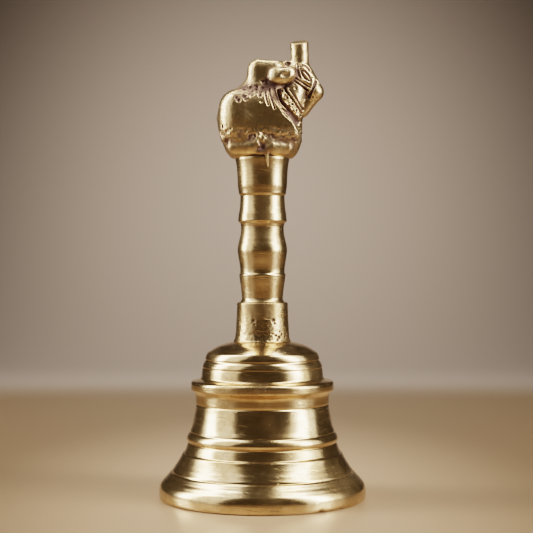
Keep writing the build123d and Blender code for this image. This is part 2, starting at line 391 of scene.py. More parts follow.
def metal(name, look):
    # depths of rings, cast grain, pits and scratches are in mm; stain, mottle and cavity set the grime
    material = bpy.data.materials.new(name)
    material.use_nodes = True
    bench = Bench(material.node_tree)
    shader = material.node_tree.nodes["Principled BSDF"]
    place = bench.node("ShaderNodeTexCoord")["Object"]
    x, y, z = place.parts()
    broad = bench.noise(place, 55.0, 3.0, 0.55)
    fine = bench.noise(place, 700.0, 4.0, 0.62)
    grime = broad.fade(0.50, 0.74) * look.get("stain", 0.24) + fine.fade(0.56, 0.76) * 0.22
    if look.get("cavity"):
        hollow = bench.node("ShaderNodeAttribute", {"attribute_name": "cavity"})["Fac"]
        hollow = hollow.fade(0.10, 0.78)
        grime = (grime + hollow * (0.7 + 0.6 * fine)).clamped()
    height = fine * look.get("cast", 0.0)
    rough = look["roughness"] + (broad - 0.5) * 0.10 + grime * 0.30
    if look.get("rings"):
        along = bench.node("ShaderNodeAttribute", {"attribute_name": "along"})["Fac"]
        turn = y.math("ARCTAN2", x)
        path = bench.vector(along, turn * 0.22, 0.0)
        coarse = bench.noise(path, 3.4, 2.0, 0.5)
        close = bench.noise(path, 11.0, 2.0, 0.7)
        height = height + (coarse * 0.7 + close * 0.5) * look["rings"]
        rough = rough + (close - 0.5) * 0.14
        grime = grime + (close.fade(0.50, 0.72) * 0.16 + coarse.fade(0.5, 0.8) * 0.10)
    if look.get("pits"):
        pit = 1 - bench.cells(place, 520.0).fade(0.05, 0.17)
        pit = pit * bench.noise(place, 130.0, 1.0).fade(0.60, 0.68)
        height = height - pit * look["pits"]
        grime = (grime + pit * 0.8).clamped()
    if look.get("scratches"):
        tilt = bench.vector(x * 0.16 + y * 0.1, y * 0.16, z * 2.2 + x * 0.35)
        scratch = bench.noise(tilt, 900.0, 1.0).fade(0.66, 0.75)
        height = height - scratch * look["scratches"]
    middle = bench.noise(place, 190.0, 3.0, 0.6)
    grime = grime + middle.fade(0.50, 0.74) * look.get("mottle", 0.0)
    patchy = (broad * 0.5 + middle * 0.5).fade(0.38, 0.66)
    tint = bench.blended(patchy, (*look["colour"], 1.0), (*look["warm"], 1.0))
    tint = bench.blended(grime, tint, (*look["tarnish"], 1.0))
    bump = bench.node("ShaderNodeBump", {}, {"Strength": 1.0, "Distance": 1.0, "Height": height * mm})
    bare = 1 - grime.clamped() * 0.45
    bench.feed(shader, {
        "Base Color": tint, "Roughness": rough.clamped(), "Metallic": bare, "Normal": bump["Normal"]})
    print("mixed", name)
    return material


turnedBrass = metal("turnedBrass", {
    **brass, "roughness": 0.18, "rings": 0.017, "cast": 0.012, "pits": 0.10, "scratches": 0.020,
    "mottle": 0.10})
stemBrass = metal("stemBrass", {
    **brass, "roughness": 0.22, "rings": 0.028, "cast": 0.014, "pits": 0.10, "scratches": 0.028,
    "stain": 0.34, "mottle": 0.16})
filedBrass = metal("filedBrass", {
    **brass, "colour": (0.70, 0.54, 0.33), "warm": (0.56, 0.40, 0.21), "roughness": 0.25, "rings": 0.05,
    "cast": 0.055, "pits": 0.16, "scratches": 0.04, "stain": 0.6, "cavity": True})
castBrass = metal("castBrass", {
    **brass, "tarnish": (0.19, 0.120, 0.100), "roughness": 0.30, "cast": 0.09, "mottle": 0.42,
    "pits": 0.16, "scratches": 0.02, "cavity": True})
boltSteel = metal("boltSteel", {
    "colour": (0.46, 0.45, 0.43), "warm": (0.38, 0.35, 0.31), "tarnish": (0.12, 0.09, 0.07),
    "roughness": 0.36, "cast": 0.01})
linkBrass = metal("linkBrass", {**brass, "roughness": 0.28, "cast": 0.01})


_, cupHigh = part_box("bell_cup")
mouth = cupHigh.x / mm
tall = cupHigh.z / mm
cup = {
    "rimLand": 2.4,  # width of the flat the bell stands on
    "lipLean": 0.5, "ceiling": 3.6, "boltHole": 2.6,
    "fine": 0.26, "coarse": 1.3,  # steps along the outside and the inside
}


def groove(r, z, width=0.5, depth=0.34, lean=0.0):
    # a scored ring: in, floor and out; lean shifts the lower lip outwards
    return [(r - lean / 2, z + width / 2), (r - depth, z), (r + lean / 2, z - width / 2)]


def cupOutline():
    def at(share, level, bow=0.0):
        # the outside is drawn downwards, so the bow turns round to stay a bulge
        return (share * mouth, level * tall, -bow)

    foot = cup["boltHole"]
    outside = [
        # crown and the two small beads
        (foot, tall), at(0.294, 1.0), at(0.410, 0.978, 0.06), at(0.526, 0.934, 0.10), at(0.540, 0.920, 0.08),
        at(0.5515, 0.899, 0.06), *groove(0.554 * mouth, 0.884 * tall, 0.5, 0.24), at(0.571, 0.860, 0.08),
        at(0.580, 0.845, 0.03), *groove(0.582 * mouth, 0.835 * tall, 0.4, 0.24), at(0.592, 0.772, 0.02),
        # flange
        at(0.600, 0.764), at(0.668, 0.753, 0.02), at(0.687, 0.745, 0.05), at(0.692, 0.733, 0.03),
        at(0.6925, 0.704), at(0.688, 0.694, 0.04), at(0.649, 0.667, -0.06), at(0.645, 0.652, -0.02),
        # waist with its scored ring
        *groove(0.645 * mouth, 0.602 * tall, 0.5, 0.36), at(0.661, 0.530, -0.05), at(0.682, 0.460, -0.05),
        # bead
        at(0.697, 0.434), *groove(0.700 * mouth, 0.426 * tall, 0.3, 0.18), at(0.726, 0.398, 0.12),
        at(0.731, 0.380, 0.05), at(0.722, 0.364, 0.05), *groove(0.719 * mouth, 0.357 * tall, 0.34, 0.28, 0.2),
        # two steps down to the lip
        at(0.753, 0.296), at(0.758, 0.293), at(0.770, 0.2905), at(0.777, 0.283, 0.05),
        at(0.806, 0.246, -0.04), at(0.838, 0.212, -0.04), at(0.868, 0.182, -0.03),
        *groove(0.880 * mouth, 0.171 * tall, 0.4, 0.38, 0.5),
        at(0.899, 0.158, 0.04), at(0.928, 0.136, 0.02), at(0.962, 0.112, 0.06), at(0.986, 0.090, 0.08),
        at(0.997, 0.066, 0.06), at(1.0, 0.042, 0.02), at(1.0, 0.022), (mouth - 0.16, 0.45, -0.06),
        (mouth - cup["lipLean"], 0.0, -0.06),
    ]
    lipInner = mouth - cup["lipLean"] - cup["rimLand"]
    inside = [
        (lipInner + 0.2, 0.0), (lipInner, 0.25, 0.04), (0.900 * mouth, 0.035 * tall),
        (0.803 * mouth, 0.170 * tall, -0.35),
        (0.682 * mouth, 0.296 * tall, 0.30), (0.629 * mouth, 0.430 * tall, 0.20),
        (0.578 * mouth, 0.600 * tall, -0.05), (0.524 * mouth, 0.765 * tall, -0.15),
        (0.446 * mouth, 0.880 * tall, -0.35), (0.262 * mouth, tall - cup["ceiling"], -0.30),
        (foot + 0.1, tall - cup["ceiling"]), (foot, tall - cup["ceiling"] + 0.1), (foot, tall),
    ]
    body = eased(flowing((outside, cup["fine"])), 1)
    return body[:-1] + flowing(([body[-1], *inside], cup["coarse"]))


cupMarks = (
    (33.0, 33.6, 0.0, 1.6, 0.40), (47.0, 33.5, 0.2, 1.2, 0.32), (52.0, 33.8, 0.6, 0.7, 0.2),
    (-24.0, 33.6, 0.0, 0.8, 0.14), (150.0, 33.6, 0.0, 1.3, 0.2), (-150.0, 33.7, 0.3, 0.9, 0.16))
cupPiece = turned("cup", cupOutline(), turnedBrass, cupMarks, Wobble=0.12 * mm)
handOver(cupPiece, "bell", "bell_cup")


collarLow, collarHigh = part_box("neck_collar")
collarFoot, collarTop = collarLow.z / mm, collarHigh.z / mm
collar = {
    "foot": 9.55, "waist": 8.8, "top": 8.35, "edge": 0.35, "bore": 2.6, "socket": 4.85, "socketDepth": 4.3,
}


def collarOutline():
    c, z0, z1 = collar, collarFoot, collarTop
    outside = [
        (c["bore"], z0), (c["foot"] - 0.3, z0), (c["foot"], z0 + 0.25, 0.05),
        (c["waist"] + 0.25, z0 + 1.3, -0.12), (c["waist"], z0 + 2.6, -0.03), (c["top"] + 0.2, z0 + 7.5),
        (c["top"], z1 - c["edge"]), (c["top"] - c["edge"], z1, 0.08), (c["socket"], z1),
    ]
    socketFloor = z1 - c["socketDepth"]
    bore = [(c["socket"], socketFloor), (c["bore"], socketFloor), (c["bore"], z0)]
    whole = eased(flowing((outside, 0.14)), 2)
    return whole[:-1] + flowing(([whole[-1], *bore], 1.0))


collarMarks = (
    # two punch marks
    (-19.0, 8.75, 58.4, 0.80, 0.26), (-17.0, 8.8, 57.2, 0.5, 0.2),
    (24.0, 8.7, 58.6, 0.80, 0.26), (27.0, 8.8, 57.5, 0.5, 0.2),
    # pitted corner at the foot
    (20.0, 9.1, 54.2, 0.5, 0.25), (30.0, 9.0, 53.6, 0.5, 0.34), (38.0, 9.0, 53.0, 0.7, 0.40),
    (46.0, 9.0, 53.9, 0.5, 0.34), (55.0, 9.1, 52.8, 0.6, 0.40), (40.0, 8.9, 54.8, 0.4, 0.28),
    (33.0, 9.1, 52.3, 0.5, 0.30), (63.0, 9.0, 54.0, 0.5, 0.25),
    # knocks at the back
    (150.0, 8.9, 57.5, 0.7, 0.25), (-120.0, 9.0, 54.0, 0.8, 0.25))
collarPiece = turned("collar", collarOutline(), filedBrass, collarMarks, Wobble=0.45 * mm, Skin=0.26 * mm, **{
    "Skin Low": (collarFoot + 2.0) * mm, "Skin High": (collarFoot + 15.0) * mm})
handOver(collarPiece, "bell", "neck_collar")


stemLow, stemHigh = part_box("handle_stem")
stemTop = stemHigh.z / mm
stemWide = stemHigh.x / mm
stem = {"spigot": 4.8, "socket": 4.05, "socketDepth": 7.8, "bore": 2.55, "boreDepth": 14.3}


def stemOutline():
    run = stemTop - collarTop

    def at(share, level, *bow):
        return (share * stemWide, collarTop + level * run, *bow)

    low = stemLow.z / mm
    boreTop = low + stem["boreDepth"]
    inner = [
        (0.0, boreTop), (stem["bore"], boreTop), (stem["bore"], low), (stem["spigot"], low),
        (stem["spigot"], collarTop),
    ]
    outside = [
        # foot, first section and its lip
        at(0.800, 0.0), at(0.820, 0.004, 0.02), at(0.786, 0.012, -0.02), at(0.757, 0.028, -0.03),
        at(0.784, 0.082), at(0.828, 0.140, -0.02), at(0.846, 0.166), at(0.850, 0.180, 0.02),
        at(0.858, 0.186, 0.08), at(0.846, 0.196, 0.08), at(0.824, 0.204),
        # belly
        at(0.824, 0.222), at(0.858, 0.278, -0.04), at(0.903, 0.332, 0.03), at(0.918, 0.360, 0.03),
        at(0.905, 0.390, 0.03), at(0.870, 0.416, 0.03), at(0.843, 0.442), at(0.809, 0.470, -0.02),
        at(0.793, 0.497, -0.03), at(0.795, 0.527, -0.03), at(0.816, 0.545), at(0.832, 0.550),
        # ridge and hollow
        at(0.900, 0.560, 0.05), at(0.905, 0.568, 0.03), at(0.884, 0.609, -0.02), at(0.842, 0.651, -0.03),
        at(0.818, 0.722, -0.03), at(0.816, 0.738), at(0.860, 0.748, 0.02), at(0.872, 0.757, 0.05),
        # flare under the bull
        at(0.889, 0.780), at(0.910, 0.805, 0.02), at(0.923, 0.858), at(0.942, 0.913, -0.02),
        at(0.998, 0.985, -0.06), at(1.0, 1.0),
    ]
    socketFloor = stemTop - stem["socketDepth"]
    top = [(stem["socket"], stemTop), (stem["socket"], socketFloor), (0.0, socketFloor)]
    whole = eased(flowing((outside, 0.17)), 1)
    return flowing((inner, 1.5))[:-1] + whole + flowing(([whole[-1], *top], 1.5))[1:]


stemPiece = turned("stem", stemOutline(), stemBrass, Wobble=0.2 * mm, Turns=224)
handOver(stemPiece, "bell", "handle_stem")


bull = {
    # millimetres from the stem's top: x towards the muzzle, y to one side (mirrored), z up
    "grain": 0.25,  # size of a cell
    "low": (-15.4, -11.6, -4.4),
    "high": (21.4, 11.6, 40.4),
    "edge": (3.4, 11.9, 20.5, 6.5),  # shoulder's edge: from x, to x, between two heights
}


def strokes(name, lines):
    # lines and dots drawn on the side of the bull, given as (x, z) points, smoothed
    spots, edges = [], []
    for line in lines:
        path = np.array(line, float)
        for _ in range(3 if len(path) > 2 else 0):
            cut = np.empty((2 * len(path) - 2, 2))
            cut[0::2] = 0.75 * path[:-1] + 0.25 * path[1:]
            cut[1::2] = 0.25 * path[:-1] + 0.75 * path[1:]
            path = np.vstack((path[:1], cut, path[-1:]))
        start = len(spots)
        spots += [(x * mm, 0.0, z * mm + stemTop * mm) for x, z in path]
        edges += chained(len(path), start)
    mesh = bpy.data.meshes.new(name)
    mesh.from_pydata(spots, edges, [])
    return bpy.data.objects.new(name, mesh)


def bullForm():
    # distance in millimetres from a point to the bull's skin
    tree = bpy.data.node_groups.new("bullForm", "GeometryNodeTree")
    tree.interface.new_socket("Point", in_out="INPUT", socket_type="NodeSocketVector")
    tree.interface.new_socket("Distance", in_out="OUTPUT", socket_type="NodeSocketFloat")
    bench = Bench(tree)
    raw = bench.node("NodeGroupInput")["Point"]
    x, y, z = raw.parts()
    side = abs(y)
    point = bench.vector(x, side, z)

    def ball(centre, radii, lean=0.0):
        away = bench.vectorMath("SUBTRACT", point, centre)
        if lean:
            away = bench.node("ShaderNodeVectorRotate", {"rotation_type": "Y_AXIS"},
                              {"Vector": away, "Angle": math.radians(lean)})["Vector"]
        near = bench.vectorMath("LENGTH", bench.vectorMath("DIVIDE", away, radii))
        steep = bench.vectorMath("LENGTH", bench.vectorMath("DIVIDE", away, tuple(r * r for r in radii)))
        return near * (near - 1) / steep.most(1e-3)

    def rod(start, end, thick, thin=None, at=None):
        span = tuple(b - a for a, b in zip(start, end))
        away = bench.vectorMath("SUBTRACT", at or point, start)
        share = (bench.vectorMath("DOT_PRODUCT", away, span) * (1 / sum(c * c for c in span))).clamped()
        gap = bench.vectorMath("LENGTH", bench.vectorMath("SUBTRACT", away, bench.scaled(span, share)))
        return gap - (thick if thin is None else thick + share * (thin - thick))

    def block(centre, half, soft, lean=0.0):
        away = bench.vectorMath("SUBTRACT", point, centre)
        if lean:
            away = bench.node("ShaderNodeVectorRotate", {"rotation_type": "Y_AXIS"},
                              {"Vector": away, "Angle": math.radians(lean)})["Vector"]
        over = bench.vectorMath("SUBTRACT", bench.vectorMath("ABSOLUTE", away), tuple(h - soft for h in half))
        a, b, c = over.parts()
        outer = bench.vectorMath("LENGTH", bench.vectorMath("MAXIMUM", over, (0.0, 0.0, 0.0)))
        return outer + a.most(b).most(c).least(0.0) - soft

    # trunk: the flank ends at the shoulder's edge and at the fold above the feet
    xLow, xHigh, zLow, zHigh = bull["edge"]
    edge = xLow + (xHigh - xLow) * (1 - z.fade(zHigh, zLow))
    trunk = block((0.5, 0, 12.6), (14.6, 9.8, 9.6), 6.0)
    trunk = trunk.join(ball((-7.2, 4.6, 12.6), (6.9, 5.7, 8.4)), 2.5)
    trunk = trunk.within(x - edge, 1.2).within((x * 0.32).cosine() * 1.3 + 5.4 - z, 2.6)
    form = ball((-0.2, 0, 5.9), (12.8, 8.9, 9.6))
    form = form.join(ball((5.9, 0, 10.2), (7.2, 7.9, 11.6)), 2.0)
    form = form.join(trunk, 1.0)
    # hump, neck and head
    hump = block((1.1, 0, 24.5), (6.3, 5.7, 7.6), 3.5, -4.0)
    form = form.join(hump, 5.0)
    form = form.join(rod((-9.0, 0, 18.0), (-3.5, 0, 23.2), 2.6, 3.0), 3.0)
    form = form.join(rod((7.4, 0, 15.0), (10.6, 0, 25.0), 6.0, 4.7), 1.6)
    form = form.join(rod((5.5, 0, 28.9), (12.0, 0, 29.5), 3.0, 2.9), 0.8)
    head = rod((12.2, 0, 28.2), (16.2, 0, 22.6), 4.15, 3.5)
    head = head.join(ball((16.9, 0, 21.7), (3.4, 3.7, 3.2)), 0.8)
    head = head.join(rod((15.9, 0, 19.6), (13.2, 0, 15.6), 2.5, 2.2), 1.4)
    form = form.join(head, 0.9)
    horn = bench.vectorMath("LENGTH", bench.vector(x - 12.35 + (z - 30) * 0.02, y, 0.0)) - 2.98
    above = bench.vectorMath("SUBTRACT", raw, (12.35, 0.0, 38.4))
    tip = bench.vectorMath("DOT_PRODUCT", above, (-0.10, -0.34, 1.0))
    form = form.join(horn.within(tip, 0.5).within(27.0 - z, 0.2), 0.5)
    ear = ball((6.3, 5.6, 26.2), (4.7, 3.1, 2.75), 12.0).join(ball((4.0, 6.0, 27.6), (1.8, 1.6, 1.2)), 1.6)
    form = form.join(ear.join(ball((8.9, 6.2, 27.7), (1.7, 1.5, 1.2)), 1.2), 0.5)
    # feet, a hoof and the lumps of braze between them
    form = form.join(rod((-9.2, 6.0, 2.9), (-3.2, 7.4, 3.1), 2.3, 2.6), 2.2)
    form = form.join(rod((3.0, 7.5, 2.7), (8.0, 6.3, 2.9), 2.4, 2.2), 2.2)
    form = form.join(ball((-0.2, 7.6, 1.3), (3.0, 1.9, 1.2)), 0.8)
    form = form.join(rod((-8.6, 6.9, 5.3), (-1.0, 7.7, 5.5), 1.35, 1.6), 1.6)
    form = form.join(rod((-1.0, 7.7, 5.5), (8.4, 6.8, 5.4), 1.6, 1.35), 1.6)
    form = form.join(rod((5.6, 8.3, 5.9), (10.2, 6.2, 4.9), 0.9, 1.35), 0.4)
    form = form.join(rod((-3.4, 9.1, 5.9), (-1.2, 9.6, 3.2), 0.75, 0.62), 0.5)
    form = form.join(rod((-1.2, 9.3, 6.9), (-2.0, 9.7, 4.7), 0.55, 0.5), 0.5)
    form = form.join(ball((0.3, 8.6, 5.6), (1.1, 0.9, 0.9)), 0.8)
    # tail: down the rump and round to the hind foot
    tail = rod((-12.6, 0, 18.6), (-14.1, 2.2, 13.0), 1.1, 0.95)
    tail = tail.join(rod((-14.1, 2.2, 13.0), (-12.4, 6.2, 5.6), 0.95, 0.8), 0.4)
    form = form.join(tail, 1.3)
    # cut in: tail groove, hole at the horn, ear's dish, line behind the jaw, mouth and nostril
    form = form.carve(rod((-13.3, 5.4, 16.4), (-12.4, 7.4, 9.4), 0.6), 0.4)
    form = form.carve(rod((8.4, 2.2, 30.9), (8.6, 6.2, 31.1), 1.0), 0.25)
    form = form.carve(rod((3.9, 5.3, 31.2), (6.8, 4.4, 30.9), 0.5), 0.4)
    form = form.carve(ball((7.7, 9.1, 26.2), (1.9, 1.3, 1.0), 10.0), 0.4)
    form = form.carve(rod((11.2, 5.2, 29.6), (10.9, 5.9, 24.2), 0.75), 0.4)
    form = form.carve(rod((15.6, 3.2, 17.6), (18.0, 3.6, 18.9), 0.4), 0.3)
    form = form.within(-z - 0.2, 0.6)
    # run of braze down the stem, on the near side only
    drip = rod((1.3, -9.0, 2.4), (1.75, -8.35, -3.5), 0.7, 0.4, at=raw)
    form = form.join(drip, 0.8)
    bench.node("NodeGroupOutput", {}, {"Distance": form})
    return tree


def bullTree():
    tree, bench, given = newTree("sculpt", {
        "Geometry": "Geometry", "Grain": "Float", "Cuts": "Object", "Deep Cuts": "Object", "Cords": "Object",
        "Beads": "Object", "Rough Patch": "Object", "Seed": "Float", "Material": "Material"})
    group = bullForm()
    base = (0.0, 0.0, stemTop)

    def distanceAt(place):
        local = bench.vectorMath("SUBTRACT", bench.scaled(place, 1 / mm), base)
        return bench.node("GeometryNodeGroup", {"node_tree": group}, {"Point": local})["Distance"]

    here = bench.node("GeometryNodeInputPosition")["Position"]
    corners = [tuple((c + o) * mm for c, o in zip(corner, base)) for corner in (bull["low"], bull["high"])]
    counts = [(h - l) / given["Grain"] for l, h in zip(bull["low"], bull["high"])]
    cloud = bench.node("GeometryNodeVolumeCube", {}, {
        "Density": 1 - distanceAt(here), "Background": -1.0, "Min": corners[0], "Max": corners[1],
        "Resolution X": counts[0], "Resolution Y": counts[1], "Resolution Z": counts[2]})["Volume"]
    skin = bench.node("GeometryNodeVolumeToMesh", {}, {"Volume": cloud, "Threshold": 1.0})["Mesh"]
    soft = bench.node("GeometryNodeBlurAttribute", {"data_type": "FLOAT_VECTOR"},
                      {"Value": here, "Iterations": 2})["Value"]
    skin = bench.moved(skin, Position=soft)

    # relief: lines drawn on the flat of the side, pressed in or raised where the skin faces sideways
    flat = bench.vectorMath("MULTIPLY", here, (1.0, 0.0, 1.0))
    normal = bench.node("GeometryNodeInputNormal")["Normal"]
    facing = abs(normal.parts()[1]).fade(0.25, 0.6)

    def near(label, element="EDGES"):
        lines = bench.drawnObject(given[label])
        return bench.node("GeometryNodeProximity", {"target_element": element},
                          {"Geometry": lines, "Sample Position": flat})["Distance"] * (1 / mm)

    cuts = 1 - near("Cuts").fade(0.14, 0.46)
    deep = 1 - near("Deep Cuts").fade(0.26, 0.66)
    cords = 1 - near("Cords").fade(0.18, 0.62)
    beadGap = near("Beads", "POINTS")
    beads = 1 - beadGap.fade(0.72, 1.16)
    pits = 1 - beadGap.fade(0.20, 0.56)
    patch = 1 - near("Rough Patch").fade(1.0, 3.4)
    seeded = bench.vectorMath("ADD", here, bench.vector(given["Seed"], 0.0, 0.0))
    _, _, z = bench.scaled(here, 1 / mm).parts()
    rough = 1 - bench.cells(seeded, 520.0).fade(0.14, 0.52)
    loose = 1 - bench.cells(seeded, 420.0).fade(0.06, 0.24)
    sparse = bench.noise(seeded, 140.0, 1.0).fade(0.54, 0.62)
    lumps = bench.noise(seeded, 150.0, 3.0, 0.6) - 0.5
    grit = bench.noise(seeded, 900.0, 2.0, 0.7) - 0.5
    chiselled = bench.noise(seeded, 380.0, 3.0, 0.65) - 0.5
    fold = 1 - abs(z - 6.6 - stemTop).fade(0.6, 3.4)
    press = (cuts * 0.46 + deep * 0.75 + pits * 0.50) * facing + rough * patch * 0.55 + loose * sparse * 0.30
    lift = (cords * 0.30).most(beads * 0.72) * facing
    grain = grit * (0.11 + fold * 0.5 + patch * 0.3) + chiselled * (fold * 1.5 + patch * 1.3)
    shift = (lift - press + lumps * 0.46 + grain) * mm
    cavity = 0.0
    for reach, share in ((0.7, 0.75), (1.8, 0.55), (3.6, 0.35)):
        out = bench.vectorMath("ADD", here, bench.scaled(normal, reach * mm))
        cavity = cavity + (1 - distanceAt(out) * (1 / reach)).clamped() * share
    worked = fold * (0.16 - chiselled * 2.4) - patch * chiselled * 2.0
    cavity = (cavity + press * 1.6 + patch * 0.26 + worked - lumps.clamped() + 0.10).clamped()
    skin = bench.moved(bench.keep(skin, "cavity", cavity), Offset=bench.scaled(normal, shift))
    closeTree(bench, skin, given["Material"])
    return tree


bullStrokes = {
    "Cuts": [
        # mane
        ((1.1, 20.8), (1.3, 18.6), (1.9, 16.4)), ((2.4, 21.9), (2.8, 19.0), (4.0, 15.2)),
        ((3.8, 22.2), (4.4, 20.2), (5.0, 18.6)),
        # eye and its lids
        ((12.7, 28.3), (13.7, 28.4), (15.2, 26.8), (16.2, 24.9), (14.7, 25.2), (13.3, 26.6), (12.7, 28.3)),
        ((12.4, 29.8), (13.7, 30.2), (15.1, 29.3), (15.5, 28.4)),
        # bridle
        ((10.9, 25.6), (12.8, 24.5), (15.4, 22.9)), ((11.0, 24.4), (12.8, 23.4), (15.0, 21.9)),
        ((11.6, 30.2), (11.5, 28.0), (12.3, 26.0)),
        # cords and leaf of the necklace
        ((7.1, 22.2), (9.8, 18.9), (12.8, 14.5)), ((8.9, 21.9), (10.8, 19.4), (13.1, 15.7)),
        ((9.8, 20.6), (11.8, 17.8), (13.2, 15.9)),
        ((6.3, 15.3), (7.8, 14.8), (10.0, 12.7), (12.2, 10.2), (10.0, 11.2), (7.4, 13.2), (6.3, 15.3)),
        ((6.9, 14.6), (9.2, 12.8), (11.6, 10.7)),
    ],
    "Deep Cuts": [
        ((5.3, 21.4), (5.9, 18.2), (8.0, 15.9), (11.9, 11.4)),
        # noseband
        ((17.7, 25.0), (16.6, 22.4), (15.2, 19.7)),
    ],
    "Cords": [
        ((8.0, 22.4), (10.4, 19.2), (13.0, 15.0)), ((5.9, 20.6), (6.9, 18.0), (9.0, 15.6), (11.9, 12.2)),
        ((11.0, 25.0), (12.8, 24.0), (15.2, 22.4)),
    ],
    "Beads": [((6.3, 21.3),), ((8.0, 19.0),), ((9.5, 16.9),), ((10.8, 15.0),), ((11.9, 13.3),)],
    "Rough Patch": [((-7.0, 19.6), (-3.5, 21.8), (0.0, 21.4), (0.2, 23.6))],
}

bullTools = {label: strokes(label.replace(" ", ""), lines) for label, lines in bullStrokes.items()}
bullPiece = grow("bull", bullTree(), {
    "Grain": bull["grain"], "Seed": 0.0, "Material": castBrass, **bullTools})
for tool in bullTools.values():
    bpy.data.objects.remove(tool)
handOver(bullPiece, "bell", "bull_finial")


def wireTree():
    # sweeps a round section along a drawn path, as thick as the path's own attribute says
    tree, bench, given = newTree("wire", {
        "Path": "Geometry", "Sides": "Int", "Step": "Float", "Kink": "Float", "Material": "Material"})
    curve = bench.node("GeometryNodeMeshToCurve", {}, {"Mesh": given["Path"]})["Curve"]
    curve = bench.node("GeometryNodeResampleCurve", {"mode": "LENGTH"},
                       {"Curve": curve, "Length": given["Step"]})["Curve"]
    here = bench.node("GeometryNodeInputPosition")["Position"]
    bends = bench.node("ShaderNodeTexNoise", {}, {"Vector": here, "Scale": 160.0, "Detail": 1.0})["Color"]
    sway = bench.scaled(bench.vectorMath("SUBTRACT", bends, (0.5, 0.5, 0.5)), given["Kink"])
    curve = bench.moved(curve, Offset=sway)
    section = bench.node("GeometryNodeCurvePrimitiveCircle", {},
                         {"Resolution": given["Sides"], "Radius": 1.0})["Curve"]
    tube = bench.node("GeometryNodeCurveToMesh", {}, {
        "Curve": curve, "Profile Curve": section, "Scale": bench.named("thick"), "Fill Caps": True})["Mesh"]
    closeTree(bench, tube, given["Material"])
    return tree


wireShape = wireTree()


def bent(name, path, material, kink=0.05):
    # path: (x, y, z, half thickness), all in mm
    mesh = bpy.data.meshes.new(name + "Path")
    mesh.from_pydata([tuple(c * mm for c in point[:3]) for point in path], chained(len(path)), [])
    attribute = mesh.attributes.new("thick", "FLOAT", "POINT")
    attribute.data.foreach_set("value", [point[3] * mm for point in path])
    return grow(name, wireShape, {
        "Sides": 28, "Step": 0.16 * mm, "Kink": kink * mm, "Material": material}, mesh)


def hoop(radius, thick, level, start, end, flat, nip=0.12):
    # part of a ring on the bell's axis, angles from its lowest point; flat is the axis it faces
    path, count = [], 72
    for i in range(count + 1):
        a = math.radians(start + (end - start) * i / count)
        near = min(i, count - i) / count
        r = thick * (1 - nip * max(0.0, 1 - near * 30))
        across, up = radius * math.sin(a), level - radius * math.cos(a)
        path.append((across, 0.0, up, r) if flat == "y" else (0.0, across, up, r))
    return path


boltLow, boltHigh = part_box("eye_bolt")
bolt = {"pitch": 0.8, "depth": 0.3, "eye": 2.9, "wire": 1.1, "neck": 1.6}
eyeLevel = boltLow.z / mm + bolt["eye"] + bolt["wire"]
threadEnd = eyeLevel + bolt["eye"] + bolt["neck"]
boltTop = boltHigh.z / mm
neckEnd = threadEnd - bolt["neck"]
boltLine = [
    (0.0, neckEnd - 0.4), (bolt["wire"] - 0.12, neckEnd - 0.35), (1.15, threadEnd - 0.9), (2.2, threadEnd),
    (2.35, threadEnd + 0.3), (2.35, boltTop - 0.6), (1.9, boltTop), (0.0, boltTop)]
boltPiece = turned("boltRod", flowing((boltLine, 0.10)), boltSteel, Turns=56, **{
    "Thread Pitch": bolt["pitch"] * mm, "Thread Depth": bolt["depth"] * mm,
    "Thread Low": threadEnd * mm, "Thread High": (boltTop - 0.3) * mm})
eyePiece = bent("boltEye", hoop(bolt["eye"], bolt["wire"], eyeLevel, 184.0, 520.0, "y"), boltSteel)
for piece in (boltPiece, eyePiece):
    handOver(piece, "bell", "eye_bolt")

washerLow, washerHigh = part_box("crown_washer")
washer = {"bore": 2.62, "burr": 0.12}
washerWide, w0, w1 = washerHigh.x / mm, washerLow.z / mm, washerHigh.z / mm
washerLine = [
    (washer["bore"], w0 + 0.1), (washer["bore"] + 0.15, w0), (washerWide - 0.3, w0),
    (washerWide, w0 + 0.25, 0.04), (washerWide, w1 - 0.12), (washerWide - washer["burr"], w1),
    (washer["bore"], w1), (washer["bore"], w0 + 0.1)]
washerPiece = turned("washer", flowing((washerLine, 0.2)), boltSteel, Turns=128, Wobble=0.05 * mm)
handOver(washerPiece, "bell", "crown_washer")

linkLow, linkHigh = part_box("link_ring")
link = {"wire": linkHigh.x / mm}
link["radius"] = linkHigh.y / mm - link["wire"]
linkLevel = (linkLow.z + linkHigh.z) / 2 / mm
linkPath = hoop(link["radius"], link["wire"], linkLevel, 62.0, 418.0, "x", 0.18)
linkPiece = bent("link", linkPath, linkBrass, 0.04)
handOver(linkPiece, "link", "link_ring")

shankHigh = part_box("clapper_shank")[1]
bobLow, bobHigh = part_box("clapper_bob")
clapper = {
    "eye": 2.1, "wire": 0.9, "rod": 1.35, "peen": 2.3, "ball": 6.8, "neck": 2.6,
    "scored": (1.28, 1.57, 1.86),  # rings on the ball, as angles from its foot
}
shankEye = shankHigh.z / mm - clapper["eye"] - clapper["wire"]
shankTop = shankEye - clapper["eye"]
bobFoot = bobLow.z / mm
shankLine = [
    (0.0, shankTop + 0.3), (0.82, shankTop + 0.2), (0.95, shankTop - 0.5),
    (clapper["rod"], shankTop - 2.0, 0.03), (clapper["rod"], bobFoot + 1.0),
    (clapper["peen"], bobFoot + 0.02), (clapper["peen"] - 0.25, bobFoot - 0.12, 0.02),
    (1.2, bobFoot - 0.28), (0.0, bobFoot - 0.3)]
shankPiece = turned("shank", flowing((shankLine, 0.16)), linkBrass, Turns=64, Wobble=0.06 * mm)
shankPath = hoop(clapper["eye"], clapper["wire"], shankEye, 6.0, 348.0, "y")
shankLoop = bent("shankEye", shankPath, linkBrass, 0.03)
for piece in (shankPiece, shankLoop):
    handOver(piece, "clapper", "clapper_shank")


